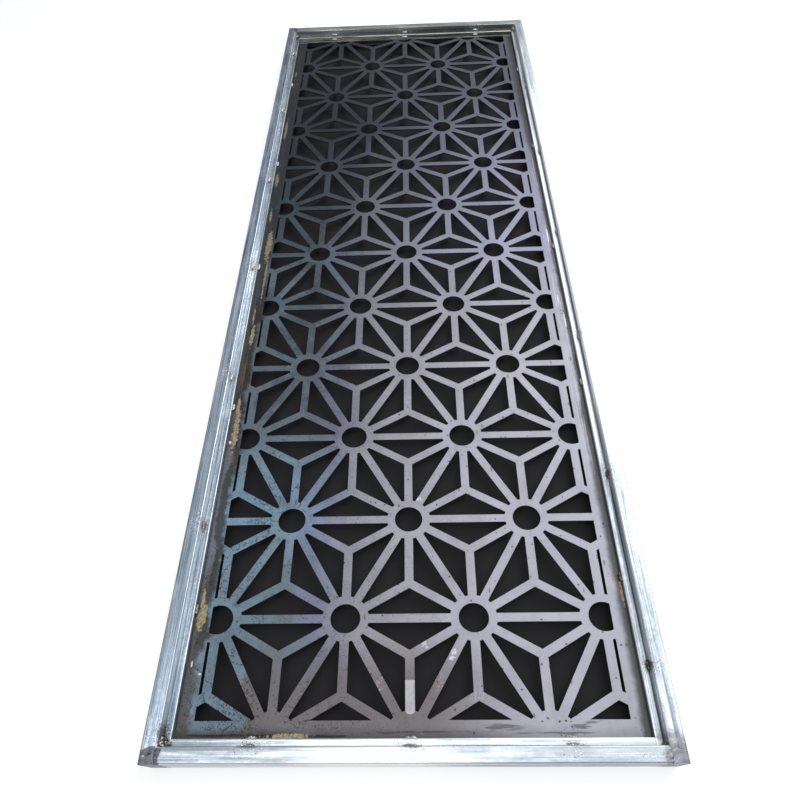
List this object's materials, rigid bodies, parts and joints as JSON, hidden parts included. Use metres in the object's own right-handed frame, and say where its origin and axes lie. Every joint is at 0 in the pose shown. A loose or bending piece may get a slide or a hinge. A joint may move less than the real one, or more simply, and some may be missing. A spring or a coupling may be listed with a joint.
{
  "type": "laser cut metal screen",
  "caption": "Rigid metal screen panel: a steel sheet laser cut with a hemp leaf lattice, tacked inside a square bead in a welded frame of galvanised box tube.",
  "frame": {"origin": "middle of the back face that the screen lies on", "axes": "the screen lies face up: +X to its right, +Y along its length towards the top, +Z out of the front face"},
  "size_m": [0.792, 2.294, 0.05],
  "materials": {
    "galvanised_tube": "pale galvanised steel with drawing lines along each tube, brighter on the rounded edges, browned by heat at the welds",
    "mill_scale_sheet": "hot rolled steel with blue grey mill scale, rust specks, scuffs and clean laser cut edges",
    "weld_metal": "dark rough weld metal, rust brown round the edge"
  },
  "bodies": {
    "root": {"left_stile": "galvanised_tube", "right_stile": "galvanised_tube", "bottom_rail": "galvanised_tube", "top_rail": "galvanised_tube", "end_plate_bottom_left": "galvanised_tube", "end_plate_bottom_right": "galvanised_tube", "end_plate_top_left": "galvanised_tube", "end_plate_top_right": "galvanised_tube", "left_bead": "galvanised_tube", "right_bead": "galvanised_tube", "bottom_bead": "galvanised_tube", "top_bead": "galvanised_tube", "laser_cut_sheet": "mill_scale_sheet", "corner_weld_bottom_left": "weld_metal", "corner_weld_bottom_right": "weld_metal", "corner_weld_top_left": "weld_metal", "corner_weld_top_right": "weld_metal", "bead_tacks_left": "weld_metal", "bead_tacks_right": "weld_metal", "bead_tacks_bottom": "weld_metal", "bead_tacks_top": "weld_metal", "sheet_tacks_left": "weld_metal", "sheet_tacks_right": "weld_metal", "sheet_tacks_bottom": "weld_metal", "sheet_tacks_top": "weld_metal"}
  },
  "joints": []
}
